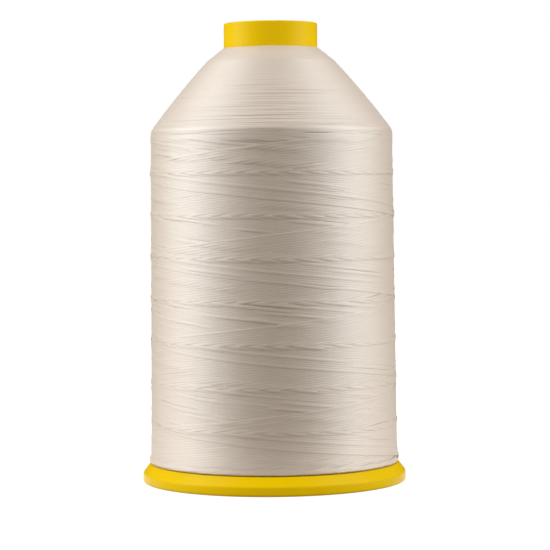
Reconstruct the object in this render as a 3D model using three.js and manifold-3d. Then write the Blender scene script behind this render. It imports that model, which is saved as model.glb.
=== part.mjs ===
// A king spool of waxed leather thread: a moulded tube with a flange at its foot, a snap base that clips
// into the tube's bore, and the thread package wound on the tube.
// Millimetres, +Z up, origin at the centre of the face that the base stands on.
import * as THREE from "three";
import { mergeVertices } from "three/addons/utils/BufferGeometryUtils.js";
import Module from "manifold-3d";

const wasm = await Module();
wasm.setup();

// ---- Driving dimensions ----

// The whole spool
const overallHeight = 166.6;
const clearance = 0.3; // between pieces that seat on or run in each other

// Snap base
const baseRadius = 48;
const baseSideHeight = 3.4; // upright part of the rim
const rimChamferHeight = 3.3;
const rimChamferWidth = 2.6;
const rimRound = 0.8; // of the rim's outer edges
const footRound = 0.5; // of the edge that stands on the table
const footRingWidth = 1.9;
const lipWidth = 1.0; // flat ring at the top of the rim
const flangeSeatDepth = 2.1; // recess in the top of the base that takes the tube's flange
const basePlate = 1.6; // thickness of the base's web
const ribCount = 8;
const ribThickness = 1.4;
const ribSetBack = 0.5; // ribs and hub end this far above the table
const hubWidth = 2.6; // ring round the hole under the base

// Snap sleeve: the slotted collar of the base that clips into the tube
const sleeveWall = 1.4;
const sleeveTop = 16; // its height above the table
const fingerCount = 6;
const fingerSlot = 1.8;
const fingerRoot = 1.2; // the slots stop this far above the base's web
const beadHeight = 1.6;
const beadReach = 0.6; // how far the snap bead stands out of the sleeve
const snapTravel = 2.5; // how far the tube lifts to open the gap that holds the thread's end

// Tube
const tubeRadius = 17;
const tubeWall = 1.6;
const tubeRound = 0.5; // of the rim at the top
const flangeThickness = 1.8;
const flangeRound = 0.4;
const tubeFillet = 1.5; // between the tube and its flange

// Thread package
const collarHeight = 9.4; // bare tube above the package
const windingOverhang = 0.9; // the package's foot reaches this far past the flange
const windingTaper = 1.0; // the package is this much smaller in radius at its shoulder
const windingFlare = 0.4; // extra radius of the lowest turns
const shoulderHeight = 29.4; // height of the cone from shoulder to top
const windingTopLand = 2.2; // flat top beside the tube, before the cone
const shoulderRound = 3.6; // length along each side that the rounded shoulder takes
const topRound = 6; // length along the cone that the rounded top takes
const footRoll = 2.5; // height of the turns that pile up at the foot
const shoulderRoll = 2.8; // and of those that pile up under the shoulder

// Outer layer of turns
const threadDiameter = 0.8;
const crossingLift = 1.26; // the passes going up lie this far outside those going down
const passCount = 7; // strokes of the thread guide, down first
const stepsPerTurn = 24;
const stepsPerPass = 81; // 3 turns and three eighths, so the passes spread evenly round the spool
const turnSteps = 2; // steps on either side in which a stroke reverses
const strandSides = 6;
const tailBend = 2.5; // radius of the bend at each end of the strand
const tailStraight = 0.9; // each end runs straight for a little over one diameter

// Facets
const rimSegments = 60;
const drumSegments = 2 * stepsPerTurn;
const curveSteps = 3;

// ---- Sizes that follow from them ----

const rimTop = baseSideHeight + rimChamferHeight;
const seatFloor = rimTop - flangeSeatDepth;
const plateUnderside = seatFloor - basePlate;
const lipOuter = baseRadius - rimChamferWidth;
const lipInner = lipOuter - lipWidth;
const flangeRadius = lipInner - clearance;
const flangeBottom = seatFloor + clearance;
const flangeTop = flangeBottom + flangeThickness;
const boreRadius = tubeRadius - tubeWall;
const sleeveOuter = boreRadius - clearance;
const sleeveInner = sleeveOuter - sleeveWall;
const beadRadius = sleeveOuter + beadReach;
const beadBottom = sleeveTop - beadHeight;
const grooveRadius = beadRadius + clearance;
const grooveBottom = beadBottom - snapTravel - clearance;
const grooveTop = sleeveTop + clearance;

const windingBore = tubeRadius + clearance;
const windingBottom = flangeTop + clearance;
const windingTop = overallHeight - collarHeight;
const shoulderZ = windingTop - shoulderHeight;
const footRadius = flangeRadius + windingOverhang;
const shoulderRadius = footRadius - windingTaper;

const stepAngle = (2 * Math.PI) / stepsPerTurn;
const chordShare = Math.cos(stepAngle / 2); // a chord's middle lies at this share of its ends' radius
const layerDepth = clearance + threadDiameter + crossingLift + footRadius * (1 - chordShare);
const layerBottom = windingBottom + footRoll;
const layerTop = shoulderZ - shoulderRoll;
const strokeBottom = layerBottom + clearance + threadDiameter / 2;
const strokeTop = layerTop - clearance - threadDiameter / 2;
const dropPerStep = (strokeTop - strokeBottom) / stepsPerPass;
const arcPerStep = stepAngle * (footRadius - layerDepth);

// ---- Solids ----

// A closed outline of radius and height, turned about the spool's axis.
function revolve(outline, segments) {
  const points = outline.getPoints(curveSteps);
  const turned = new THREE.LatheGeometry(points, segments);
  turned.rotateX(Math.PI / 2);
  return turned;
}

function solidOf(geometry) {
  const bare = geometry.clone();
  bare.deleteAttribute("normal");
  bare.deleteAttribute("uv");
  const merged = mergeVertices(bare, 1e-4);
  const mesh = new wasm.Mesh({
    numProp: 3,
    vertProperties: merged.attributes.position.array,
    triVerts: new Uint32Array(merged.index.array),
  });
  return new wasm.Manifold(mesh);
}

function geometryOf(solid) {
  const mesh = solid.getMesh();
  const geometry = new THREE.BufferGeometry();
  geometry.setAttribute("position", new THREE.BufferAttribute(mesh.vertProperties, 3));
  geometry.setIndex(new THREE.BufferAttribute(mesh.triVerts, 1));
  geometry.computeVertexNormals();
  return geometry;
}

// A box that points outwards from the axis, between two radii and two heights.
function radialBar(inner, outer, bottom, top, width, turn) {
  const bar = new THREE.BoxGeometry(outer - inner, width, top - bottom);
  bar.translate((inner + outer) / 2, 0, (bottom + top) / 2);
  bar.rotateZ(turn);
  return solidOf(bar);
}

// ---- Snap base ----

function snapBaseOutline() {
  const o = new THREE.Path();
  const chamferSlope = rimChamferWidth / rimChamferHeight;
  o.moveTo(sleeveInner, ribSetBack);
  o.lineTo(sleeveInner + hubWidth, ribSetBack);
  o.lineTo(sleeveInner + hubWidth, plateUnderside);
  o.lineTo(baseRadius - footRingWidth, plateUnderside);
  o.lineTo(baseRadius - footRingWidth, 0);
  o.lineTo(baseRadius - footRound, 0);
  o.quadraticCurveTo(baseRadius, 0, baseRadius, footRound);
  o.lineTo(baseRadius, baseSideHeight - rimRound);
  o.quadraticCurveTo(
    baseRadius,
    baseSideHeight,
    baseRadius - rimRound * chamferSlope,
    baseSideHeight + rimRound,
  );
  o.lineTo(lipOuter + (rimRound / 2) * chamferSlope, rimTop - rimRound / 2);
  o.quadraticCurveTo(lipOuter, rimTop, lipOuter - rimRound / 2, rimTop);
  o.lineTo(lipInner, rimTop);
  o.lineTo(lipInner, seatFloor);
  o.lineTo(sleeveOuter, seatFloor);
  o.lineTo(sleeveOuter, beadBottom);
  o.lineTo(beadRadius, beadBottom);
  o.lineTo(beadRadius, beadBottom + beadHeight / 2);
  o.lineTo(sleeveOuter, sleeveTop);
  o.lineTo(sleeveInner, sleeveTop);
  o.closePath();
  return o;
}

function snapBase() {
  let solid = solidOf(revolve(snapBaseOutline(), rimSegments));
  const ribInner = sleeveInner + hubWidth / 2;
  const ribOuter = baseRadius - footRingWidth / 2;
  const ribTop = plateUnderside + basePlate / 2;
  for (let i = 0; i < ribCount; i++) {
    const turn = (i * 2 * Math.PI) / ribCount;
    solid = solid.add(radialBar(ribInner, ribOuter, ribSetBack, ribTop, ribThickness, turn));
  }
  const slotBottom = seatFloor + fingerRoot;
  for (let i = 0; i < fingerCount; i++) {
    const turn = ((i + 0.5) * 2 * Math.PI) / fingerCount;
    const inner = sleeveInner - sleeveWall;
    const outer = beadRadius + sleeveWall;
    const slot = radialBar(inner, outer, slotBottom, sleeveTop + sleeveWall, fingerSlot, turn);
    solid = solid.subtract(slot);
  }
  return geometryOf(solid);
}

// ---- Tube ----

function tubeOutline() {
  const o = new THREE.Path();
  o.moveTo(boreRadius, flangeBottom);
  o.lineTo(flangeRadius - flangeRound, flangeBottom);
  o.quadraticCurveTo(flangeRadius, flangeBottom, flangeRadius, flangeBottom + flangeRound);
  o.lineTo(flangeRadius, flangeTop - flangeRound);
  o.quadraticCurveTo(flangeRadius, flangeTop, flangeRadius - flangeRound, flangeTop);
  o.lineTo(tubeRadius + tubeFillet, flangeTop);
  o.quadraticCurveTo(tubeRadius, flangeTop, tubeRadius, flangeTop + tubeFillet);
  o.lineTo(tubeRadius, overallHeight - tubeRound);
  o.quadraticCurveTo(tubeRadius, overallHeight, tubeRadius - tubeRound, overallHeight);
  o.lineTo(boreRadius + tubeRound, overallHeight);
  o.quadraticCurveTo(boreRadius, overallHeight, boreRadius, overallHeight - tubeRound);
  o.lineTo(boreRadius, grooveTop);
  o.lineTo(grooveRadius, grooveTop);
  o.lineTo(grooveRadius, grooveBottom);
  o.lineTo(boreRadius, grooveBottom);
  o.closePath();
  return o;
}

// ---- Thread package ----

// The package's outer radius on the body, between its foot and its shoulder.
function bodyRadius(z) {
  const share = (z - windingBottom) / (shoulderZ - windingBottom);
  return footRadius - windingTaper * share;
}

// The radius of the core under the outer layer of turns.
function coreRadius(z) {
  return bodyRadius(z) - layerDepth;
}

function packageOutline() {
  const o = new THREE.Path();
  const coneTop = tubeRadius + windingTopLand;
  const coneRun = shoulderRadius - coneTop;
  const coneLength = Math.hypot(coneRun, shoulderHeight);
  const intoCone = shoulderRound / coneLength;
  const belowTop = topRound / coneLength;
  const flareClear = tubeFillet + clearance;
  o.moveTo(windingBore + flareClear, windingBottom);
  o.lineTo(footRadius + windingFlare, windingBottom);
  o.quadraticCurveTo(bodyRadius(layerBottom), windingBottom, bodyRadius(layerBottom), layerBottom);
  o.lineTo(coreRadius(layerBottom), layerBottom);
  o.lineTo(coreRadius(layerTop), layerTop);
  o.lineTo(bodyRadius(layerTop), layerTop);
  o.quadraticCurveTo(
    shoulderRadius,
    shoulderZ,
    shoulderRadius - coneRun * intoCone,
    shoulderZ + shoulderHeight * intoCone,
  );
  o.lineTo(coneTop + coneRun * belowTop, windingTop - shoulderHeight * belowTop);
  o.quadraticCurveTo(coneTop, windingTop, windingBore, windingTop);
  o.lineTo(windingBore, windingBottom + flareClear);
  o.closePath();
  return o;
}

// ---- Outer layer: one strand that criss-crosses the package ----

// How far along the stroke the thread guide is, in steps from its last reversal, and which stroke it is on.
function strokeAt(step) {
  const pass = Math.min(Math.floor(step / stepsPerPass), passCount - 1);
  return { pass, along: step - pass * stepsPerPass };
}

function strandHeight(step) {
  const { pass, along } = strokeAt(step);
  const nearest = Math.min(along, stepsPerPass - along);
  const eased = nearest < turnSteps ? (nearest ** 2 / turnSteps + turnSteps) / 2 : nearest;
  const fromEnd = along < stepsPerPass / 2 ? eased : stepsPerPass - eased;
  return pass % 2 ? strokeBottom + dropPerStep * fromEnd : strokeTop - dropPerStep * fromEnd;
}

// The lift of a stroke going up over those going down, eased through each reversal.
function strandLift(step) {
  const { pass, along } = strokeAt(step);
  const upwards = pass % 2;
  const nearest = Math.min(along, stepsPerPass - along);
  const away = Math.min(nearest / turnSteps, 1);
  const share = 0.5 + (upwards ? 0.5 : -0.5) * away * (2 - away);
  return crossingLift * share;
}

// A point of the strand's middle line, on the package's surface.
function onPackage(angle, z, lift) {
  const r = (coreRadius(z) + clearance + threadDiameter / 2) / chordShare + lift;
  return new THREE.Vector3(r * Math.cos(angle), r * Math.sin(angle), z);
}

// How an end of the strand leaves the surface it meets: straight along the axis for tailStraight, then
// a bend into the stroke. Its corner is where the two straight lines would cross.
const tail = tailShape();

function tailShape() {
  const turn = Math.PI / 2 - Math.atan(dropPerStep / arcPerStep);
  const reach = tailBend * Math.tan(turn / 2);
  const cornerDrop = tailStraight + reach - threadDiameter / 2;
  const cornerStep = cornerDrop / dropPerStep;
  const joinStep = Math.max(turnSteps, Math.ceil(cornerStep + reach / arcPerStep));
  return { turn, reach, cornerDrop, cornerStep, joinStep };
}

// The first end hangs from the roll under the shoulder, and the last one stands on the roll at the foot.
function strandEnd(isFirst) {
  const side = isFirst ? 1 : -1;
  const startStep = isFirst ? 0 : passCount * stepsPerPass;
  const cornerAngle = (startStep + side * tail.cornerStep) * stepAngle;
  const cornerZ = (isFirst ? strokeTop : strokeBottom) - side * tail.cornerDrop;
  const endZ = isFirst ? layerTop - clearance : layerBottom + clearance;
  const points = [onPackage(cornerAngle, endZ, 0)];
  const bendSteps = 2 * curveSteps;
  for (let i = 0; i <= bendSteps; i++) {
    const turned = (tail.turn * i) / bendSteps;
    const across = side * tailBend * (1 - Math.cos(turned));
    const above = side * (tail.reach - tailBend * Math.sin(turned));
    points.push(onPackage(cornerAngle + (across * stepAngle) / arcPerStep, cornerZ + above, 0));
  }
  return isFirst ? points : points.reverse();
}

function strandRoute() {
  const points = strandEnd(true);
  const lastStep = passCount * stepsPerPass - tail.joinStep;
  for (let step = tail.joinStep; step <= lastStep; step++) {
    points.push(onPackage(step * stepAngle, strandHeight(step), strandLift(step)));
  }
  points.push(...strandEnd(false));
  return points;
}

// One ring of the strand's section, square to the route.
function sectionRing(route, i) {
  const before = route[Math.max(i - 1, 0)];
  const after = route[Math.min(i + 1, route.length - 1)];
  const along = after.clone().sub(before).normalize();
  const out = new THREE.Vector3(route[i].x, route[i].y, 0).normalize();
  out.addScaledVector(along, -out.dot(along)).normalize();
  const across = along.clone().cross(out);
  const ring = [];
  for (let k = 0; k < strandSides; k++) {
    const turn = (2 * Math.PI * k) / strandSides;
    const corner = route[i].clone();
    corner.addScaledVector(out, (Math.cos(turn) * threadDiameter) / 2);
    corner.addScaledVector(across, (Math.sin(turn) * threadDiameter) / 2);
    ring.push(corner.x, corner.y, corner.z);
  }
  return ring;
}

function strandGeometry(route) {
  const corners = [];
  route.forEach((_, i) => corners.push(...sectionRing(route, i)));
  const faces = [];
  for (let i = 0; i + 1 < route.length; i++) {
    for (let k = 0; k < strandSides; k++) {
      const a = i * strandSides + k;
      const b = i * strandSides + ((k + 1) % strandSides);
      faces.push(a, b, a + strandSides, b, b + strandSides, a + strandSides);
    }
  }
  const lastRing = (route.length - 1) * strandSides;
  for (let k = 1; k + 1 < strandSides; k++) {
    faces.push(0, k + 1, k);
    faces.push(lastRing, lastRing + k, lastRing + k + 1);
  }
  const geometry = new THREE.BufferGeometry();
  geometry.setAttribute("position", new THREE.Float32BufferAttribute(corners, 3));
  geometry.setIndex(faces);
  geometry.computeVertexNormals();
  return geometry;
}

// The least gap between two stretches of the strand that lie more than a few diameters apart along it.
function leastGap(route) {
  const samplesPerStep = 8;
  const points = [];
  const lengths = [];
  let length = 0;
  for (let i = 0; i + 1 < route.length; i++) {
    const span = route[i].distanceTo(route[i + 1]);
    for (let k = 0; k < samplesPerStep; k++) {
      points.push(route[i].clone().lerp(route[i + 1], k / samplesPerStep));
      lengths.push(length + (span * k) / samplesPerStep);
    }
    length += span;
  }
  const apart = 8 * threadDiameter;
  let least = Infinity;
  for (let i = 0; i < points.length; i++) {
    for (let j = i + 1; j < points.length; j++) {
      if (lengths[j] - lengths[i] < apart) continue;
      least = Math.min(least, points[i].distanceToSquared(points[j]));
    }
  }
  return Math.sqrt(least) - threadDiameter;
}

// ---- Assembly ----

const plastic = { color: 0xf5c800, roughness: 0.32, metalness: 0 };
const thread = { color: 0xe8dfd2, roughness: 0.7, metalness: 0 };

function piece(name, geometry, look) {
  const mesh = new THREE.Mesh(geometry, new THREE.MeshStandardMaterial(look));
  mesh.name = name;
  return mesh;
}

const route = strandRoute();
console.log("least gap of the strand to itself: " + leastGap(route).toFixed(3) + " mm");

const spool = new THREE.Group();
spool.add(piece("snap_base", snapBase(), plastic));

// The tube and all that is wound on it lift together off the snap base.
const woundTube = new THREE.Group();
woundTube.add(piece("spool_tube", revolve(tubeOutline(), drumSegments), plastic));
woundTube.add(piece("thread_package", revolve(packageOutline(), drumSegments), thread));
woundTube.add(piece("outer_strand", strandGeometry(route), thread));
spool.add(woundTube);

export default spool;
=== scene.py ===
import math

import bmesh
import bpy
import numpy as np
from mathutils import Matrix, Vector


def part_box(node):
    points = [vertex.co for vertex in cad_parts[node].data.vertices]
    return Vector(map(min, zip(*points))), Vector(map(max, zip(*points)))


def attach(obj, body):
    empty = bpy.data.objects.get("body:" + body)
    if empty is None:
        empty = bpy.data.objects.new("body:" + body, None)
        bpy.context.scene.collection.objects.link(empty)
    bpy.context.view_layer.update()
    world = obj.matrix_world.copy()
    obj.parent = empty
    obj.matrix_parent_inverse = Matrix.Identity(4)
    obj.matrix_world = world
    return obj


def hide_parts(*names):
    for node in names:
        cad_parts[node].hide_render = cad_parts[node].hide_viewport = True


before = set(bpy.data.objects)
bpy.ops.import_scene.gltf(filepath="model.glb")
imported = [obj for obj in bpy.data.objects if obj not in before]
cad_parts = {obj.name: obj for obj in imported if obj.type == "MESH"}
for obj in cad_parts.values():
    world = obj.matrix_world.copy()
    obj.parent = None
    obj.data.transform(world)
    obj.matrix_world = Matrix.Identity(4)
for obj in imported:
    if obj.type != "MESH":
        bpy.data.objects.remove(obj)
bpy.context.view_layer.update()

# Lengths are in millimetres up to the point where a mesh is made, and MM turns them into metres.
MM = 0.001
SEED = 7
rng = np.random.default_rng(SEED)

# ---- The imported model's own sizes ----


def reach_of(node):
    """A CAD node's outer radius, its lowest and its highest point."""
    low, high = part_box(node)
    return high.x / MM, low.z / MM, high.z / MM


BASE_RADIUS, FOOT_Z, SLEEVE_TOP = reach_of("snap_base")
FLANGE_RADIUS, FLANGE_BOTTOM, SPOOL_TOP = reach_of("spool_tube")
_, PACKAGE_BOTTOM, PACKAGE_TOP = reach_of("thread_package")

# ---- The photograph's camera ----

PICTURE = 550
FOCAL_PIXELS = 2246.1
SENSOR = 36.0
CAMERA_DISTANCE = 820.3
CAMERA_HEIGHT = 108.1
PITCH_DOWN = math.radians(2.311)
YAW_RIGHT = math.radians(0.058)
ROLL = math.radians(-0.537)

# ---- The wound thread ----

THREAD_WIDTH = 0.98  # waxed thread is pressed flat where it lies against its neighbours
THREAD_THICKNESS = 0.138  # much less than a real thread's, to keep the relief as soft as the photograph's
SECTION_POWER = 6.0  # of the superellipse that is its section
SECTION_TURNS = (0, 40, 62, 80, 140, 220, 280, 298, 320)  # degrees, from the outer side
CONTACT_SHARE = 0.42  # the part of its width that bears on what lies under it

COLUMNS = 540  # places round the spool at which the thread's height is worked out
BACK = COLUMNS // 4  # the place furthest from the camera
PASSES = 36  # double strokes of the thread guide that cover the package once
SHIFT = COLUMNS // PASSES  # columns by which each double stroke leads the one before
TURNS = 8  # turns in a double stroke, before that shift
ROW_SPACING = 15.1  # height between the rows in which the strokes cross
TOP_REVERSAL = 127.3  # height at which an up and a down stroke would meet
UP_SHARE = 0.478  # the guide goes up a little faster than it comes down
FRONT_HEIGHT = 27.2  # where the newest up stroke passes the front of the spool
REVERSAL_EASE = 1.5  # height over which a stroke turns round
FOOT_LIMIT = PACKAGE_BOTTOM + 0.4  # the lowest height at which a stroke turns round
TOP_LIMIT = TOP_REVERSAL - 0.4  # and the highest
LIMIT_SPREAD = 2.4  # strokes turn round at heights this much apart at the top
FOOT_SPREAD_SHARE = 0.25  # and by this share of it at the foot
UNDER_REACH = 121.0  # the shoulder's first turns go on down to here, under the body's strokes
EDGE_Z = 127.5  # the lowest of the shoulder's outer turns
LAST_GAP = 0.14  # the newest down stroke lies this much apart from the one before it
SLIP = 0.24  # spread of how far a slipped stretch lies to one side
UP_SLIP_SHARE = 0.4  # up strokes slip by this share of it
SLIP_EVERY = COLUMNS // 2  # one slipped stretch in this many columns
LEVEL = THREAD_THICKNESS  # height of one layer of thread
FRONT_STEP = 0.8 * LEVEL  # how far the newest turns stand above the oldest
CEILING = 0.3  # strands that pile up higher than this are pressed down
PRESSED_SHARE = 0.25  # to this share of what is over it
# The strokes lie closer where they turn round, so what is under them is lower there, by these layers.
DIP_HEIGHTS = (119.5, UNDER_REACH, 122.2, 125.5, 126.4, 127.2, 127.8)
DIP_LAYERS = (0, 0.7, 1.2, 1.2, -0.3, -1, 0)
# They are pressed down further there than elsewhere.
PRESSED_HEIGHTS = (121.5, 123.0, 126.0, 127.5)
PRESSED_CEILINGS = (CEILING, 0.05, 0.0, CEILING)
EDGE_SINK = 0.6 * LEVEL  # the shoulder's outer turns lie lower at their lowest edge
EDGE_SINK_WIDTH = 3.0

PERIOD = TURNS * COLUMNS - SHIFT  # columns in a double stroke
UP_RUN = PERIOD * UP_SHARE  # columns over which the guide goes up
UP_COLUMNS = round(UP_RUN)
RISE = ROW_SPACING * PERIOD / COLUMNS  # height of a stroke
BOTTOM_REVERSAL = TOP_REVERSAL - RISE  # height at which a down and an up stroke would meet

SHOULDER_Z = 127.8
SHOULDER_RADIUS = 43.9
BODY_FOOT_RADIUS = 44.95
CONE_END_RADIUS = 23.2
CONE_END_Z = 152.9
COLLAR_RADIUS = 17.0
COLLAR_TOUCH_Z = PACKAGE_TOP + 0.6
SHOULDER_BEND = 3.0
FOOT_FLARE = 0.42  # the package widens a little where it stands on the base
FLARE_HEIGHT = 3.2
CONE_END_BEND = 8.0
CONE_BULGE = 0.45

ROW_STEP = 0.08
RING_EVERY = 5  # columns from one ring of a strand's mesh to the next
BED_ROWS = 12  # rows of the surface from one ring of the bed's mesh to the next
BED_TOP_LAND = 0.2  # the bed's narrowest flat top, beside the tube
BED_CHAMFER = 1.8  # clears the fillet between the tube and its flange


def smooth_min(a, b, width):
    """The lower of two values, rounded where they meet."""
    share = np.clip(width - np.abs(a - b), 0, None) / width
    return np.minimum(a, b) - share**2 * width / 4


def smooth_max(a, b, width):
    return -smooth_min(-a, -b, width)


def fillet(before, corner, after, radius, steps):
    """The points of an arc that rounds a corner of an outline."""
    before, corner, after = (np.array(p, float) for p in (before, corner, after))
    a = (before - corner) / np.linalg.norm(before - corner)
    b = (after - corner) / np.linalg.norm(after - corner)
    half = math.acos(float(np.clip(a @ b, -1, 1))) / 2
    if radius <= 0 or half > math.pi / 2 - 1e-4:
        return [corner]
    middle = corner + (a + b) / np.linalg.norm(a + b) * radius / math.sin(half)
    start = corner + a * radius / math.tan(half) - middle
    end = corner + b * radius / math.tan(half) - middle
    sweep = math.pi - 2 * half
    points = []
    for k in range(steps + 1):
        t = k / steps
        points.append(
            middle
            + (math.sin((1 - t) * sweep) * start + math.sin(t * sweep) * end)
            / math.sin(sweep)
        )
    return points


def rounded(corners, steps, closed=True):
    """An outline through corners (radius, height, rounding), with its corners rounded."""
    points = []
    count = len(corners)
    for i, (r, z, rounding) in enumerate(corners):
        if not closed and i in (0, count - 1):
            points.append(np.array([r, z], float))
            continue
        before, after = corners[i - 1][:2], corners[(i + 1) % count][:2]
        points += fillet(before, (r, z), after, rounding, steps if rounding else 1)
    return np.array(points)


def section(across):
    """The height of the thread's section above its middle, at a share of its half width."""
    inside = np.clip(1 - np.abs(across) ** SECTION_POWER, 0, None)
    return THREAD_THICKNESS / 2 * inside ** (1 / SECTION_POWER)


class Surface:
    """The package's outer form, by the distance along its side, and the height of the thread on it."""

    def __init__(self):
        corners = [
            (BODY_FOOT_RADIUS, PACKAGE_BOTTOM, 0),
            (SHOULDER_RADIUS, SHOULDER_Z, SHOULDER_BEND),
            (CONE_END_RADIUS, CONE_END_Z, CONE_END_BEND),
            (COLLAR_RADIUS, COLLAR_TOUCH_Z, 0),
        ]
        line = rounded(corners, 12, closed=False)
        along = np.concatenate(
            [[0], np.cumsum(np.linalg.norm(np.diff(line, axis=0), axis=1))]
        )
        self.length = along[-1]
        self.place = np.arange(0, self.length, ROW_STEP)
        self.radius = np.interp(self.place, along, line[:, 0])
        self.z = np.interp(self.place, along, line[:, 1])
        slope = np.stack([np.gradient(self.radius), np.gradient(self.z)], axis=1)
        slope /= np.linalg.norm(slope, axis=1)[:, None]
        self.out = np.stack([slope[:, 1], -slope[:, 0]], axis=1)
        cone = np.clip((self.z - SHOULDER_Z) / (CONE_END_Z - SHOULDER_Z), 0, 1)
        bulge = CONE_BULGE * np.sin(np.pi * cone)
        bulge += FOOT_FLARE * np.exp(-(self.z - PACKAGE_BOTTOM) / FLARE_HEIGHT)
        self.radius = self.radius + self.out[:, 0] * bulge
        self.z = self.z + self.out[:, 1] * bulge
        self.height = np.zeros((COLUMNS, len(self.place)))

    def at(self, place, values):
        return np.interp(place, self.place, values)

    def place_of(self, z):
        return np.interp(z, self.z, self.place)


def eased(support):
    """The line that a taut thread takes over what holds it up."""
    reach = 3
    padded = np.pad(support, reach, mode="edge")
    raised = np.max(
        [padded[k : k + len(support)] for k in range(2 * reach + 1)], axis=0
    )
    kernel = np.hanning(2 * reach + 3)[1:-1]
    kernel /= kernel.sum()
    return np.convolve(np.pad(raised, reach, mode="edge"), kernel, mode="valid")


def lay(surface, columns, place, ceiling):
    """Lays a stretch of thread on what is there. Returns the height of its middle at each column."""
    half = THREAD_WIDTH / 2
    nearest = np.rint(place / ROW_STEP).astype(int)
    reach = int(half / ROW_STEP) + 1
    last = len(surface.place) - 1
    support = np.full(len(place), -np.inf)
    for k in range(-reach, reach + 1):
        row = np.clip(nearest + k, 0, last)
        across = (row * ROW_STEP - place) / (half * CONTACT_SHARE)
        rise = np.where(
            np.abs(across) < 1, surface.height[columns, row] + section(across), -np.inf
        )
        support = np.maximum(support, rise)
    middle = eased(support)
    middle = np.where(middle > ceiling, ceiling + PRESSED_SHARE * (middle - ceiling), middle)
    for k in range(-reach, reach + 1):
        row = np.clip(nearest + k, 0, last)
        across = (row * ROW_STEP - place) / half
        top = middle + section(across)
        now = surface.height[columns, row]
        surface.height[columns, row] = np.where(
            np.abs(across) < 1, np.maximum(now, top), now
        )
    return middle


def wander(count, spacing, size):
    """A smooth random line: one value for each column, with a new random height every so many columns."""
    knots = np.arange(0, count + 3 * spacing, spacing)
    values = rng.normal(0, size, len(knots))
    return np.interp(
        np.arange(count),
        knots,
        np.convolve(values, [0.25, 0.5, 0.25], mode="same"),
    )


def slips(count):
    """Short stretches where the thread has slipped a little to one side, which opens a gap beside it."""
    shift = np.zeros(count)
    for start in range(0, count, SLIP_EVERY):
        half = int(rng.integers(COLUMNS // 30, COLUMNS // 12))
        middle = start + int(rng.integers(SLIP_EVERY))
        low, high = max(middle - half, 0), min(middle + half, count)
        lift = 1 + np.cos(np.pi * (np.arange(low, high) - middle) / half)
        shift[low:high] += rng.normal(0, SLIP) * lift / 2
    return shift


def stroke_offsets(size, spread):
    """How far each stroke lies from its even place: close in small groups, with a gap between groups."""
    offsets = []
    while len(offsets) < PASSES:
        group = int(rng.integers(2, 5))
        places = np.arange(group) - (group - 1) / 2
        offsets += list(-size * places + rng.normal(0, spread, group))
    return np.array(offsets[:PASSES])


def body_route():
    """The thread on the body, a triangle wave of height round the spool: columns, heights."""
    index = np.arange(PASSES * PERIOD)
    step, which = index % PERIOD, index // PERIOD
    limits = rng.uniform(0, 1, (PASSES, 2)) * LIMIT_SPREAD
    up_line = BOTTOM_REVERSAL + RISE * step / UP_RUN
    down_line = TOP_REVERSAL - RISE * (step - UP_RUN) / (PERIOD - UP_RUN)
    height = smooth_min(up_line, down_line, REVERSAL_EASE)
    height = smooth_min(height, TOP_LIMIT - limits[which, 0], REVERSAL_EASE)
    before = BOTTOM_REVERSAL - RISE * step / (PERIOD - UP_RUN)
    after = BOTTOM_REVERSAL + RISE * (step - PERIOD) / UP_RUN
    height = smooth_max(height, before, REVERSAL_EASE)
    height = smooth_max(height, after, REVERSAL_EASE)
    nearest_foot = np.where(step < PERIOD / 2, which, np.minimum(which + 1, PASSES - 1))
    foot = FOOT_LIMIT + FOOT_SPREAD_SHARE * limits[nearest_foot, 1]
    height = smooth_max(height, foot, REVERSAL_EASE)
    ups, downs = stroke_offsets(0.0, 0.006), stroke_offsets(0.04, 0.015)
    downs[-1] -= LAST_GAP
    margin = COLUMNS / 6
    knots, values = [], []
    for j in range(PASSES):
        start = j * PERIOD
        knots += [start + margin, start + UP_RUN - margin]
        values += [ups[j]] * 2
        knots += [start + UP_RUN + margin, start + PERIOD - margin]
        values += [downs[j]] * 2
    height = height + np.interp(index, knots, values)
    height = height + wander(len(index), COLUMNS // 6, 0.015)
    height = height + slips(len(index)) * np.where(step > UP_RUN, 1.0, UP_SLIP_SHARE)
    front = (FRONT_HEIGHT - BOTTOM_REVERSAL) / RISE * UP_RUN + (PASSES - 1) * PERIOD
    turn_to_front = -COLUMNS / 4 - front
    columns = (index + int(round(turn_to_front))) % COLUMNS
    return columns, height


def age_shares(surface):
    """How old the up strokes and the down strokes are at each place, from 0, the newest, to 1."""
    theta = np.arange(COLUMNS)[:, None]
    z = surface.z[None, :]
    pitch_up = RISE / UP_COLUMNS * COLUMNS
    pitch_down = RISE / (PERIOD - UP_COLUMNS) * COLUMNS
    from_front = (theta + COLUMNS / 4) / COLUMNS
    up_front = FRONT_HEIGHT + from_front * pitch_up
    up_age = ((up_front - z) / pitch_up) % 1
    meet = (TOP_REVERSAL - FRONT_HEIGHT) / pitch_up
    down_front = TOP_REVERSAL + (meet - from_front) * pitch_down
    down_age = ((z - down_front) / pitch_down) % 1
    return up_age, down_age


def path_points(surface, columns, place, middle):
    """The thread's middle line and the way out of the surface along it, as two lists of points."""
    radius = surface.at(place, surface.radius)
    z = surface.at(place, surface.z)
    out_r = surface.at(place, surface.out[:, 0])
    out_z = surface.at(place, surface.out[:, 1])
    angle = columns * 2 * np.pi / COLUMNS
    ring = np.stack([np.cos(angle), np.sin(angle)], axis=1)
    r = radius + out_r * middle
    points = np.column_stack([ring * r[:, None], z + out_z * middle])
    out = np.column_stack([ring * out_r[:, None], out_z])
    return points, out


# ---- Meshes ----


def link(name, mesh):
    piece = bpy.data.objects.new(name, mesh)
    bpy.context.scene.collection.objects.link(piece)
    return piece


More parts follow.
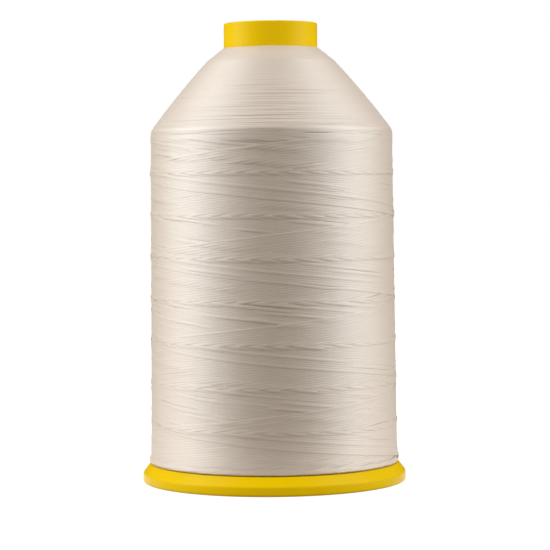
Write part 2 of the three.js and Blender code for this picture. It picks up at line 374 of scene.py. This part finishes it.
def mesh_of(name, points, faces, uvs=None):
    """A mesh of four-sided faces. points are in millimetres, and uvs has a pair for each face's corner."""
    mesh = bpy.data.meshes.new(name)
    mesh.vertices.add(len(points))
    mesh.vertices.foreach_set("co", (np.asarray(points) * MM).astype(np.float32).ravel())
    mesh.loops.add(faces.size)
    mesh.loops.foreach_set("vertex_index", faces.astype(np.int32).ravel())
    mesh.polygons.add(len(faces))
    starts = np.arange(len(faces), dtype=np.int32) * faces.shape[1]
    mesh.polygons.foreach_set("loop_start", starts)
    mesh.polygons.foreach_set("use_smooth", np.ones(len(faces), bool))
    if uvs is not None:
        layer = mesh.uv_layers.new(name="lay")
        layer.data.foreach_set("uv", np.asarray(uvs, np.float32).ravel())
    mesh.update()
    mesh.validate()
    return mesh


def strand_mesh(name, points, out, start_length):
    """A closed tube with a flattened section along points.

    Its uv is the length along it, in metres, and the share of the way round it.
    """
    along = np.gradient(points, axis=0)
    along /= np.linalg.norm(along, axis=1)[:, None]
    out = out - along * np.sum(out * along, axis=1)[:, None]
    out /= np.linalg.norm(out, axis=1)[:, None]
    side = np.cross(along, out)
    turn = np.radians(SECTION_TURNS)
    sides = len(turn)
    up = np.sign(np.cos(turn)) * np.abs(np.cos(turn)) ** (2 / SECTION_POWER)
    across = np.sign(np.sin(turn)) * np.abs(np.sin(turn)) ** (2 / SECTION_POWER)
    rings = (
        points[:, None, :]
        + out[:, None, :] * (up * THREAD_THICKNESS / 2)[None, :, None]
        + side[:, None, :] * (across * THREAD_WIDTH / 2)[None, :, None]
    )
    count = len(points)
    ring, k = np.meshgrid(np.arange(count - 1), np.arange(sides), indexing="ij")
    following = (k + 1) % sides
    a = ring * sides + k
    b = ring * sides + following
    faces = np.stack([a, a + sides, b + sides, b], axis=-1).reshape(-1, 4)
    steps = np.linalg.norm(np.diff(points, axis=0), axis=1)
    length = (start_length + np.concatenate([[0], np.cumsum(steps)])) * MM
    v0, v1 = k / sides, (k + 1) / sides
    uvs = np.stack(
        [
            np.stack([length[ring], v0], axis=-1),
            np.stack([length[ring + 1], v0], axis=-1),
            np.stack([length[ring + 1], v1], axis=-1),
            np.stack([length[ring], v1], axis=-1),
        ],
        axis=2,
    ).reshape(-1, 2)
    mesh = mesh_of(name, rings.reshape(-1, 3), faces, uvs)
    close_ends(mesh, sides)
    return mesh, length[-1] / MM


def close_ends(mesh, sides):
    """Closes the two open ends of a strand, each with one face."""
    work = bmesh.new()
    work.from_mesh(mesh)
    work.verts.ensure_lookup_table()
    ends = work.verts[:sides], work.verts[-sides:]
    for end in ends[0][::-1], ends[1]:
        work.faces.new(end)
    work.to_mesh(mesh)
    work.free()


def wind_package():
    """The visible thread, strand by strand: the shoulder's turns, then the body's crossing strokes."""
    surface = Surface()
    up_age, down_age = age_shares(surface)
    slope = FRONT_STEP * (1 - up_age - down_age)
    on_body = np.clip((SHOULDER_Z - surface.z) / 6, 0, 1)[None, :]
    dip = np.interp(surface.z, DIP_HEIGHTS, DIP_LAYERS)
    surface.height = -2 * LEVEL + slope * on_body - LEVEL * dip[None, :]

    pieces = []

    def add(name, columns, place, middle, length):
        points, out = path_points(surface, columns, place, middle)
        keep = np.unique(np.append(np.arange(0, len(points), RING_EVERY), len(points) - 1))
        mesh, length = strand_mesh(name, points[keep], out[keep], length)
        pieces.append(link(name, mesh))
        return length

    # The shoulder: close turns from the collar down, and looser ones over them.
    top = surface.length - 0.5
    length = 0.0
    for name, low_z, pitch, drift, lift, way in (
        ("shoulder_turns", UNDER_REACH, 0.84, 0.04, 0.015, 1),
        ("shoulder_cover_turns", EDGE_Z, 0.82, 0.055, 0.036, -1),
    ):
        low = surface.place_of(low_z)
        count = int((top - low) / pitch * COLUMNS)
        index = np.arange(count)
        place = top - index / COLUMNS * pitch + wander(count, COLUMNS // 18, drift)
        place = np.clip(place, low, top)
        columns = (way * (index - count) + BACK) % COLUMNS
        middle = np.empty(count)
        for start in range(0, count, COLUMNS):
            part = slice(start, start + COLUMNS)
            middle[part] = lay(surface, columns[part], place[part], CEILING)
        middle += wander(count, COLUMNS // 26, lift)
        if way < 0:
            middle -= EDGE_SINK * np.clip(1 - (place - low) / EDGE_SINK_WIDTH, 0, 1)
        length = add(name, columns, place, middle, length)

    # The body: one thread that goes up and down.
    columns, z = body_route()
    place = surface.place_of(z)
    middle = np.empty(len(z))
    pressed = np.interp(z, PRESSED_HEIGHTS, PRESSED_CEILINGS)
    for j in range(PASSES):
        for start, stop in ((0, UP_COLUMNS), (UP_COLUMNS, PERIOD)):
            part = slice(j * PERIOD + start, j * PERIOD + stop)
            middle[part] = lay(surface, columns[part], place[part], pressed[part])
    parts = 4
    for k in range(parts):
        first = k * PASSES // parts * PERIOD
        final = (k + 1) * PASSES // parts * PERIOD
        part = slice(first, min(final + 1, len(z)))
        length = add(f"wound_thread_{k + 1}", columns[part], place[part], middle[part], length)
    return surface, pieces


def lathe(name, outline, segments, uv_scale=None):
    """A closed outline (radius, height) turned about the spool's axis."""
    count = len(outline)
    angle = np.arange(segments) * 2 * np.pi / segments
    r, z = outline[:, 0], outline[:, 1]
    points = np.stack(
        [
            np.cos(angle)[:, None] * r[None, :],
            np.sin(angle)[:, None] * r[None, :],
            np.broadcast_to(z[None, :], (segments, count)),
        ],
        axis=-1,
    ).reshape(-1, 3)
    i, k = np.meshgrid(np.arange(segments), np.arange(count), indexing="ij")
    i1, k1 = (i + 1) % segments, (k + 1) % count
    faces = np.stack(
        [i * count + k, i1 * count + k, i1 * count + k1, i * count + k1], axis=-1
    ).reshape(-1, 4)
    uvs = None
    if uv_scale:
        run = np.concatenate(
            [[0], np.cumsum(np.linalg.norm(np.diff(outline, axis=0, append=outline[:1]), axis=1))]
        )
        ring = 2 * np.pi * BODY_FOOT_RADIUS * MM
        u0, u1 = i / segments * ring, (i + 1) / segments * ring
        v0, v1 = run[k] / uv_scale, run[k + 1] / uv_scale
        corners = [(u0, v0), (u1, v0), (u1, v1), (u0, v1)]
        uvs = np.stack([np.stack(c, axis=-1) for c in corners], axis=2).reshape(-1, 2)
    return mesh_of(name, points, faces, uvs)


def thread_bed(surface):
    """The thread under the visible turns: a solid that fills the package up to the lowest of them."""
    depth = 2 * LEVEL + FRONT_STEP
    rows = np.arange(0, len(surface.place), BED_ROWS)
    r = surface.radius[rows] - surface.out[rows, 0] * depth
    z = surface.z[rows] - surface.out[rows, 1] * depth
    z = np.maximum(z, PACKAGE_BOTTOM)
    bore = COLLAR_RADIUS + CLEARANCE
    keep = r > bore + BED_TOP_LAND
    side = np.column_stack([r[keep], z[keep]])
    ends = np.array(
        [[bore, side[-1, 1]], [bore, PACKAGE_BOTTOM + BED_CHAMFER], [bore + BED_CHAMFER, PACKAGE_BOTTOM]]
    )
    outline = np.concatenate([side, ends])
    mesh = lathe("thread_bed", outline, 180, uv_scale=THREAD_WIDTH)
    return link("thread_bed", mesh)


# ---- Mouldings ----

RIM_SIDE = 3.4
RIM_CHAMFER = (2.6, 3.3)
FLANGE_SEAT = 2.1
BASE_WEB = 1.6
FOOT_RING = 1.9
LIP = 1.0
CLEARANCE = 0.3
TUBE_WALL = 1.6
SLEEVE_WALL = 1.4
RIB_SET_BACK = 0.5
RIB_COUNT = 8
RIB_THICKNESS = 1.4
HUB_WIDTH = 2.6
FINGER_COUNT = 6
FINGER_SLOT = 1.8
FINGER_ROOT = 1.2
BEAD_HEIGHT = 1.6
BEAD_REACH = 0.6
SNAP_TRAVEL = 2.5
FLANGE_THICKNESS = 1.8
TUBE_FILLET = 1.5

RIM_TOP = RIM_SIDE + RIM_CHAMFER[1]
SEAT_FLOOR = RIM_TOP - FLANGE_SEAT
WEB_UNDERSIDE = SEAT_FLOOR - BASE_WEB
LIP_OUTER = BASE_RADIUS - RIM_CHAMFER[0]
BORE = COLLAR_RADIUS - TUBE_WALL
SLEEVE_OUTER = BORE - CLEARANCE
SLEEVE_INNER = SLEEVE_OUTER - SLEEVE_WALL
BEAD_BOTTOM = SLEEVE_TOP - BEAD_HEIGHT
BEAD_RADIUS = SLEEVE_OUTER + BEAD_REACH


def bar(name, inner, outer, bottom, top, width, turn):
    """A box that points outwards from the axis."""
    corners = []
    for r in (inner, outer):
        for y in (-width / 2, width / 2):
            for z in (bottom, top):
                corners.append(
                    [
                        r * math.cos(turn) - y * math.sin(turn),
                        r * math.sin(turn) + y * math.cos(turn),
                        z,
                    ]
                )
    faces = np.array(
        [[0, 1, 3, 2], [4, 6, 7, 5], [0, 4, 5, 1], [2, 3, 7, 6], [0, 2, 6, 4], [1, 5, 7, 3]]
    )
    return link(name, mesh_of(name, np.array(corners), faces))


def combine(piece, others, operation):
    """Joins other objects to a piece or cuts them out of it, and removes them."""
    for other in others:
        change = piece.modifiers.new(operation.lower(), "BOOLEAN")
        change.operation = operation
        change.solver = "EXACT"
        change.object = other
        bpy.context.view_layer.update()
        evaluated = piece.evaluated_get(bpy.context.evaluated_depsgraph_get())
        mesh = bpy.data.meshes.new_from_object(evaluated)
        piece.modifiers.clear()
        piece.data = mesh
        bpy.data.objects.remove(other)


def finish_moulding(piece, sharp_above):
    """Smooth faces with creases only at real edges."""
    mesh = piece.data
    mesh.polygons.foreach_set("use_smooth", np.ones(len(mesh.polygons), bool))
    mesh.set_sharp_from_angle(angle=math.radians(sharp_above))
    mesh.name = piece.name


def base_moulding():
    """The snap base: chamfered rim, web, hub and ribs, and the slotted sleeve that clips into the tube."""
    corners = [
        (SLEEVE_INNER, RIB_SET_BACK, 0.3),
        (SLEEVE_INNER + HUB_WIDTH, RIB_SET_BACK, 0.3),
        (SLEEVE_INNER + HUB_WIDTH, WEB_UNDERSIDE, 0.4),
        (BASE_RADIUS - FOOT_RING, WEB_UNDERSIDE, 0.5),
        (BASE_RADIUS - FOOT_RING, FOOT_Z, 0.3),
        (BASE_RADIUS, FOOT_Z, 0.9),
        (BASE_RADIUS, RIM_SIDE, 1.2),
        (LIP_OUTER, RIM_TOP, 0.6),
        (LIP_OUTER - LIP, RIM_TOP, 0.2),
        (LIP_OUTER - LIP, SEAT_FLOOR, 0.15),
        (SLEEVE_OUTER, SEAT_FLOOR, 0.3),
        (SLEEVE_OUTER, BEAD_BOTTOM, 0),
        (BEAD_RADIUS, BEAD_BOTTOM, 0.12),
        (BEAD_RADIUS, BEAD_BOTTOM + BEAD_HEIGHT / 2, 0.3),
        (SLEEVE_OUTER, SLEEVE_TOP, 0.15),
        (SLEEVE_INNER, SLEEVE_TOP, 0.3),
    ]
    piece = link("snap_base_moulding", lathe("snap_base_moulding", rounded(corners, 5), 216))
    slots = []
    for i in range(FINGER_COUNT):
        turn = (i + 0.5) * 2 * math.pi / FINGER_COUNT
        slots.append(
            bar(
                f"slot_{i}",
                SLEEVE_INNER - SLEEVE_WALL,
                BEAD_RADIUS + SLEEVE_WALL,
                SEAT_FLOOR + FINGER_ROOT,
                SLEEVE_TOP + SLEEVE_WALL,
                FINGER_SLOT,
                turn,
            )
        )
    combine(piece, slots, "DIFFERENCE")
    ribs = []
    for i in range(RIB_COUNT):
        turn = i * 2 * math.pi / RIB_COUNT + math.radians(0.4)
        ribs.append(
            bar(
                f"rib_{i}",
                SLEEVE_INNER + HUB_WIDTH / 2,
                BASE_RADIUS - FOOT_RING / 2,
                RIB_SET_BACK + 0.01,
                WEB_UNDERSIDE + BASE_WEB / 2,
                RIB_THICKNESS,
                turn,
            )
        )
    combine(piece, ribs, "UNION")
    finish_moulding(piece, 32)
    return piece


def tube_moulding():
    """The tube with its flange, the bare collar at the top and the groove for the snap beads."""
    groove = BEAD_RADIUS + CLEARANCE
    groove_bottom = BEAD_BOTTOM - SNAP_TRAVEL - CLEARANCE
    groove_top = SLEEVE_TOP + CLEARANCE
    flange_top = FLANGE_BOTTOM + FLANGE_THICKNESS
    corners = [
        (BORE, FLANGE_BOTTOM, 0.2),
        (FLANGE_RADIUS, FLANGE_BOTTOM, 0.4),
        (FLANGE_RADIUS, flange_top, 0.4),
        (COLLAR_RADIUS, flange_top, TUBE_FILLET),
        (COLLAR_RADIUS, SPOOL_TOP, 0.55),
        (BORE, SPOOL_TOP, 0.55),
        (BORE, groove_top, 0.1),
        (groove, groove_top, 0.1),
        (groove, groove_bottom, 0.1),
        (BORE, groove_bottom, 0.1),
    ]
    piece = link("spool_tube_moulding", lathe("spool_tube_moulding", rounded(corners, 6), 180))
    finish_moulding(piece, 40)
    return piece


# ---- Materials ----


def material(name):
    made = bpy.data.materials.new(name)
    made.use_nodes = True
    made.node_tree.nodes.clear()
    return made, made.node_tree.nodes, made.node_tree.links


def node(nodes, kind, **values):
    """A new node, with values for its settings and, by name, for its inputs."""
    made = nodes.new(kind)
    for key, value in values.items():
        if hasattr(made, key):
            setattr(made, key, value)
        else:
            made.inputs[key.replace("_", " ")].default_value = value
    return made


def math_node(nodes, links, operation, a, b=None):
    made = nodes.new("ShaderNodeMath")
    made.operation = operation
    for k, value in enumerate((a, b)):
        if value is None:
            continue
        if isinstance(value, (int, float)):
            made.inputs[k].default_value = value
        else:
            links.new(value, made.inputs[k])
    return made.outputs[0]


def ramp(nodes, links, value, low, high):
    """Maps a value from 0–1 to a range."""
    made = nodes.new("ShaderNodeMapRange")
    links.new(value, made.inputs["Value"])
    made.inputs["To Min"].default_value = low
    made.inputs["To Max"].default_value = high
    return made.outputs["Result"]


THREAD_COLOUR = (0.69, 0.57, 0.45)
THREAD_SHADE = (0.635, 0.505, 0.39)
TWIST_FILAMENTS = 3
TWIST_LENGTH = 0.0045  # metres of thread in which its filaments go round once
PLASTIC_COLOUR = (0.93, 0.635, 0.0)
PLASTIC_SHADE = (0.90, 0.59, 0.0)


def thread_material(name, ridges):
    """Waxed thread: filaments along it, a slow change of tone from turn to turn, and a satin film of wax."""
    made, nodes, links = material(name)
    output = node(nodes, "ShaderNodeOutputMaterial")
    shader = node(nodes, "ShaderNodeBsdfPrincipled", Roughness=0.5, Metallic=0.0)
    links.new(shader.outputs[0], output.inputs[0])
    uv = node(nodes, "ShaderNodeUVMap", uv_map="lay")
    split = node(nodes, "ShaderNodeSeparateXYZ")
    links.new(uv.outputs[0], split.inputs[0])
    along, round_it = split.outputs[0], split.outputs[1]

    def noise(along_scale, round_scale, detail):
        place = node(nodes, "ShaderNodeCombineXYZ")
        links.new(math_node(nodes, links, "MULTIPLY", along, along_scale), place.inputs[0])
        links.new(math_node(nodes, links, "MULTIPLY", round_it, round_scale), place.inputs[1])
        texture = node(nodes, "ShaderNodeTexNoise", Scale=1.0, Detail=detail)
        links.new(place.outputs[0], texture.inputs["Vector"])
        return texture.outputs["Fac"]

    tone = noise(9.0, 0.0, 1.0)
    filament = noise(260.0, 22.0, 2.0)
    per_metre = 2 * math.pi * TWIST_FILAMENTS / TWIST_LENGTH
    twist_turns = math_node(nodes, links, "MULTIPLY", along, per_metre)
    twist_round = math_node(nodes, links, "MULTIPLY", round_it, 2 * math.pi * TWIST_FILAMENTS)
    twist = math_node(nodes, links, "SINE", math_node(nodes, links, "ADD", twist_turns, twist_round))
    mix = node(nodes, "ShaderNodeMix", data_type="RGBA")
    blend = math_node(
        nodes,
        links,
        "ADD",
        ramp(nodes, links, tone, -0.35, 0.9),
        ramp(nodes, links, filament, -0.2, 0.35),
    )
    links.new(blend, mix.inputs[0])
    mix.inputs[6].default_value = (*THREAD_SHADE, 1)
    mix.inputs[7].default_value = (*THREAD_COLOUR, 1)
    links.new(mix.outputs[2], shader.inputs["Base Color"])
    links.new(ramp(nodes, links, filament, 0.52, 0.66), shader.inputs["Roughness"])
    height = math_node(
        nodes,
        links,
        "ADD",
        math_node(nodes, links, "MULTIPLY", filament, 0.6),
        math_node(nodes, links, "MULTIPLY", twist, 0.22),
    )
    if ridges:
        strand = math_node(nodes, links, "SINE", math_node(nodes, links, "MULTIPLY", round_it, 2 * math.pi))
        height = math_node(nodes, links, "ADD", height, math_node(nodes, links, "MULTIPLY", strand, 2.0))
    bump = node(nodes, "ShaderNodeBump", Strength=0.35, Distance=0.00004)
    links.new(height, bump.inputs["Height"])
    links.new(bump.outputs[0], shader.inputs["Normal"])
    shader.inputs["Specular IOR Level"].default_value = 1.0
    shader.inputs["IOR"].default_value = 2.45
    return made


def plastic_material():
    """Moulded yellow polypropylene: soft gloss, faint flow marks and fine scuffs."""
    made, nodes, links = material("yellow_plastic_look")
    output = node(nodes, "ShaderNodeOutputMaterial")
    shader = node(nodes, "ShaderNodeBsdfPrincipled", Roughness=0.3)
    links.new(shader.outputs[0], output.inputs[0])
    place = node(nodes, "ShaderNodeTexCoord").outputs["Object"]

    def noise(scale, detail, stretch=(1, 1, 1)):
        mapping = node(nodes, "ShaderNodeMapping")
        mapping.inputs["Scale"].default_value = stretch
        links.new(place, mapping.inputs["Vector"])
        texture = node(nodes, "ShaderNodeTexNoise", Scale=scale, Detail=detail)
        links.new(mapping.outputs[0], texture.inputs["Vector"])
        return texture.outputs["Fac"]

    flow = noise(45.0, 3.0, (1, 1, 2.5))
    grain = noise(1600.0, 2.0)
    scuff = noise(420.0, 4.0, (1, 1, 9))
    mix = node(nodes, "ShaderNodeMix", data_type="RGBA")
    links.new(flow, mix.inputs[0])
    mix.inputs[6].default_value = (*PLASTIC_SHADE, 1)
    mix.inputs[7].default_value = (*PLASTIC_COLOUR, 1)
    links.new(mix.outputs[2], shader.inputs["Base Color"])
    rough = math_node(
        nodes,
        links,
        "ADD",
        ramp(nodes, links, scuff, 0.22, 0.34),
        ramp(nodes, links, grain, -0.03, 0.05),
    )
    links.new(rough, shader.inputs["Roughness"])
    bump = node(nodes, "ShaderNodeBump", Strength=0.25, Distance=0.00002)
    height = math_node(nodes, links, "ADD", grain, scuff)
    links.new(height, bump.inputs["Height"])
    links.new(bump.outputs[0], shader.inputs["Normal"])
    shader.inputs["Specular IOR Level"].default_value = 0.07
    return made


# ---- Stage ----


def background_share(nodes, links):
    """1 for a ray that looks at the background: from the camera, by reflection or through glass."""
    path = node(nodes, "ShaderNodeLightPath")
    first = math_node(nodes, links, "MAXIMUM", path.outputs["Is Camera Ray"], path.outputs["Is Glossy Ray"])
    return math_node(nodes, links, "MAXIMUM", first, path.outputs["Is Transmission Ray"])


FILL_LOW, FILL_HIGH = 0.86, 0.25  # light from low down, and from straight above
FILL_COLOUR = (1.0, 0.925, 0.83)
FLOOR_COLOUR = (0.28, 0.26, 0.23)
# The floor's glow is lowered near the spool as painted shade round its foot, beside the real shadow that its
# diffuse paint keeps.
GLOW_NEAR, GLOW_FAR = 0.048, 0.12  # metres from the axis over which the floor fades to white
PAINTED_SHADE_GLOW = 0.86  # the floor's glow at the spool, lowered there as painted shade round its foot


def make_world():
    world = bpy.data.worlds.new("studio")
    bpy.context.scene.world = world
    world.use_nodes = True
    nodes, links = world.node_tree.nodes, world.node_tree.links
    nodes.clear()
    output = node(nodes, "ShaderNodeOutputWorld")
    fill = node(nodes, "ShaderNodeBackground")
    direction = node(nodes, "ShaderNodeSeparateXYZ")
    links.new(node(nodes, "ShaderNodeTexCoord").outputs["Generated"], direction.inputs[0])
    links.new(ramp(nodes, links, direction.outputs[2], FILL_LOW, FILL_HIGH), fill.inputs["Strength"])
    fill.inputs["Color"].default_value = (*FILL_COLOUR, 1)
    white = node(nodes, "ShaderNodeBackground", Strength=1.0)
    white.inputs["Color"].default_value = (1, 1, 1, 1)
    mix = node(nodes, "ShaderNodeMixShader")
    links.new(background_share(nodes, links), mix.inputs[0])
    links.new(fill.outputs[0], mix.inputs[1])
    links.new(white.outputs[0], mix.inputs[2])
    links.new(mix.outputs[0], output.inputs[0])


def make_floor():
    """A pale floor that keeps the spool's soft shadow, with painted shade from a glow lowered near the
    spool, and fades to the white background away from it.
    """
    radius = 4.0
    mesh = bpy.data.meshes.new("floor")
    corners = [(-radius, -radius, 0), (radius, -radius, 0), (radius, radius, 0), (-radius, radius, 0)]
    mesh.from_pydata(corners, [], [(0, 1, 2, 3)])
    floor = link("floor", mesh)
    made, nodes, links = material("pale_floor")
    output = node(nodes, "ShaderNodeOutputMaterial")
    paint = node(nodes, "ShaderNodeBsdfDiffuse")
    paint.inputs["Color"].default_value = (*FLOOR_COLOUR, 1)
    glow = node(nodes, "ShaderNodeEmission")
    both = node(nodes, "ShaderNodeAddShader")
    place = node(nodes, "ShaderNodeTexCoord").outputs["Object"]
    away = node(nodes, "ShaderNodeVectorMath", operation="LENGTH")
    links.new(place, away.inputs[0])
    # Painted shade: the glow is lower near the spool's axis and rises to full white away from it.
    spread = nodes.new("ShaderNodeMapRange")
    spread.interpolation_type = "SMOOTHSTEP"
    links.new(away.outputs["Value"], spread.inputs["Value"])
    spread.inputs["From Min"].default_value = GLOW_NEAR
    spread.inputs["From Max"].default_value = GLOW_FAR
    spread.inputs["To Min"].default_value = PAINTED_SHADE_GLOW
    spread.inputs["To Max"].default_value = 1.0
    strength = math_node(nodes, links, "MULTIPLY", spread.outputs["Result"], background_share(nodes, links))
    links.new(strength, glow.inputs["Strength"])
    links.new(paint.outputs[0], both.inputs[0])
    links.new(glow.outputs[0], both.inputs[1])
    links.new(both.outputs[0], output.inputs[0])
    floor.data.materials.append(made)


LAMP_COLOUR = (0.945, 0.975, 1.0)
LAMP_DISTANCE = 1.0
LAMP_HEIGHT = 0.5
LAMP_AIM = 0.08  # height at which the lamps point


def softbox(name, azimuth, size, power):
    """A soft lamp that faces the spool. Its azimuth is measured from the camera's side, to the right."""
    lamp = bpy.data.lights.new(name, "AREA")
    lamp.shape = "RECTANGLE"
    lamp.size, lamp.size_y = size
    lamp.energy = power
    lamp.color = LAMP_COLOUR
    turn = math.radians(azimuth)
    place = (LAMP_DISTANCE * math.sin(turn), -LAMP_DISTANCE * math.cos(turn), LAMP_HEIGHT)
    holder = bpy.data.objects.new(name, lamp)
    bpy.context.scene.collection.objects.link(holder)
    pitch = math.atan2(LAMP_HEIGHT - LAMP_AIM, LAMP_DISTANCE)
    holder.matrix_world = (
        Matrix.Translation(place)
        @ Matrix.Rotation(turn, 4, "Z")
        @ Matrix.Rotation(math.pi / 2 - pitch, 4, "X")
    )


FLAG_AZIMUTHS = (104, 172)
FLAG_HEIGHT = 0.8


def dark_flags():
    """The unlit studio that the satin thread mirrors. Only reflections see these cloths.

    They hang in front and above, lie low down in front and behind, and stand behind at each side.
    """
    across, low, high, front, back = 1.3, -0.6, 1.7, -1.3, -0.05
    carpet, near, near_across, side = 0.002, 0.06, 0.05, 0.5
    corners = [
        (-across, front, low),
        (across, front, low),
        (across, front, high),
        (-across, front, high),
        (across, back, high),
        (-across, back, high),
    ]
    faces = [(0, 1, 2, 3), (3, 2, 4, 5)]
    for way in (-1, 1):
        first = len(corners)
        for x, y in (
            (-near_across, near),
            (near_across, near),
            (across, side),
            (across, -front),
            (-across, -front),
            (-across, side),
        ):
            corners.append((x, way * y, carpet))
        faces.append(tuple(range(first, first + 6)))
    for way in (-1, 1):
        first = len(corners)
        for azimuth in FLAG_AZIMUTHS:
            turn = math.radians(azimuth)
            x, y = way * math.sin(turn), -math.cos(turn)
            corners += [(x, y, low), (x, y, FLAG_HEIGHT)]
        faces.append((first, first + 2, first + 3, first + 1))
    mesh = bpy.data.meshes.new("dark_flags")
    mesh.from_pydata(corners, [], faces)
    flags = link("dark_flags", mesh)
    made, nodes, links = material("dark_cloth")
    output = node(nodes, "ShaderNodeOutputMaterial")
    cloth = node(nodes, "ShaderNodeBsdfDiffuse")
    cloth.inputs["Color"].default_value = (0.02, 0.02, 0.02, 1)
    links.new(cloth.outputs[0], output.inputs[0])
    flags.data.materials.append(made)
    flags.visible_camera = False
    flags.visible_diffuse = False
    flags.visible_shadow = False


def make_camera():
    camera = bpy.data.cameras.new("camera")
    camera.sensor_width = SENSOR
    camera.lens = FOCAL_PIXELS / PICTURE * SENSOR
    holder = bpy.data.objects.new("camera", camera)
    bpy.context.scene.collection.objects.link(holder)
    holder.matrix_world = (
        Matrix.Translation((0, -CAMERA_DISTANCE * MM, CAMERA_HEIGHT * MM))
        @ Matrix.Rotation(-YAW_RIGHT, 4, "Z")
        @ Matrix.Rotation(math.pi / 2 - PITCH_DOWN, 4, "X")
        @ Matrix.Rotation(ROLL, 4, "Z")
    )
    bpy.context.scene.camera = holder


# ---- The spool ----

make_camera()
make_world()
make_floor()
dark_flags()
softbox("left_softbox", -81, (0.8, 1.7), 12.6)
softbox("right_softbox", 78, (0.75, 1.7), 9.8)
bpy.context.scene.view_settings.view_transform = "Standard"

plastic = plastic_material()
for piece, body, node_name in (
    (base_moulding(), "base", "snap_base"),
    (tube_moulding(), "wound_tube", "spool_tube"),
):
    piece.data.materials.clear()
    piece.data.materials.append(plastic)
    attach(piece, body)
    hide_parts(node_name)

surface, strands = wind_package()
wound = thread_material("waxed_thread_look", ridges=False)
under = thread_material("under_thread_look", ridges=True)
bed = thread_bed(surface)
bed.data.materials.append(under)
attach(bed, "wound_tube")
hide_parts("thread_package")
for strand in strands:
    strand.data.materials.append(wound)
    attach(strand, "wound_tube")
    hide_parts("outer_strand")
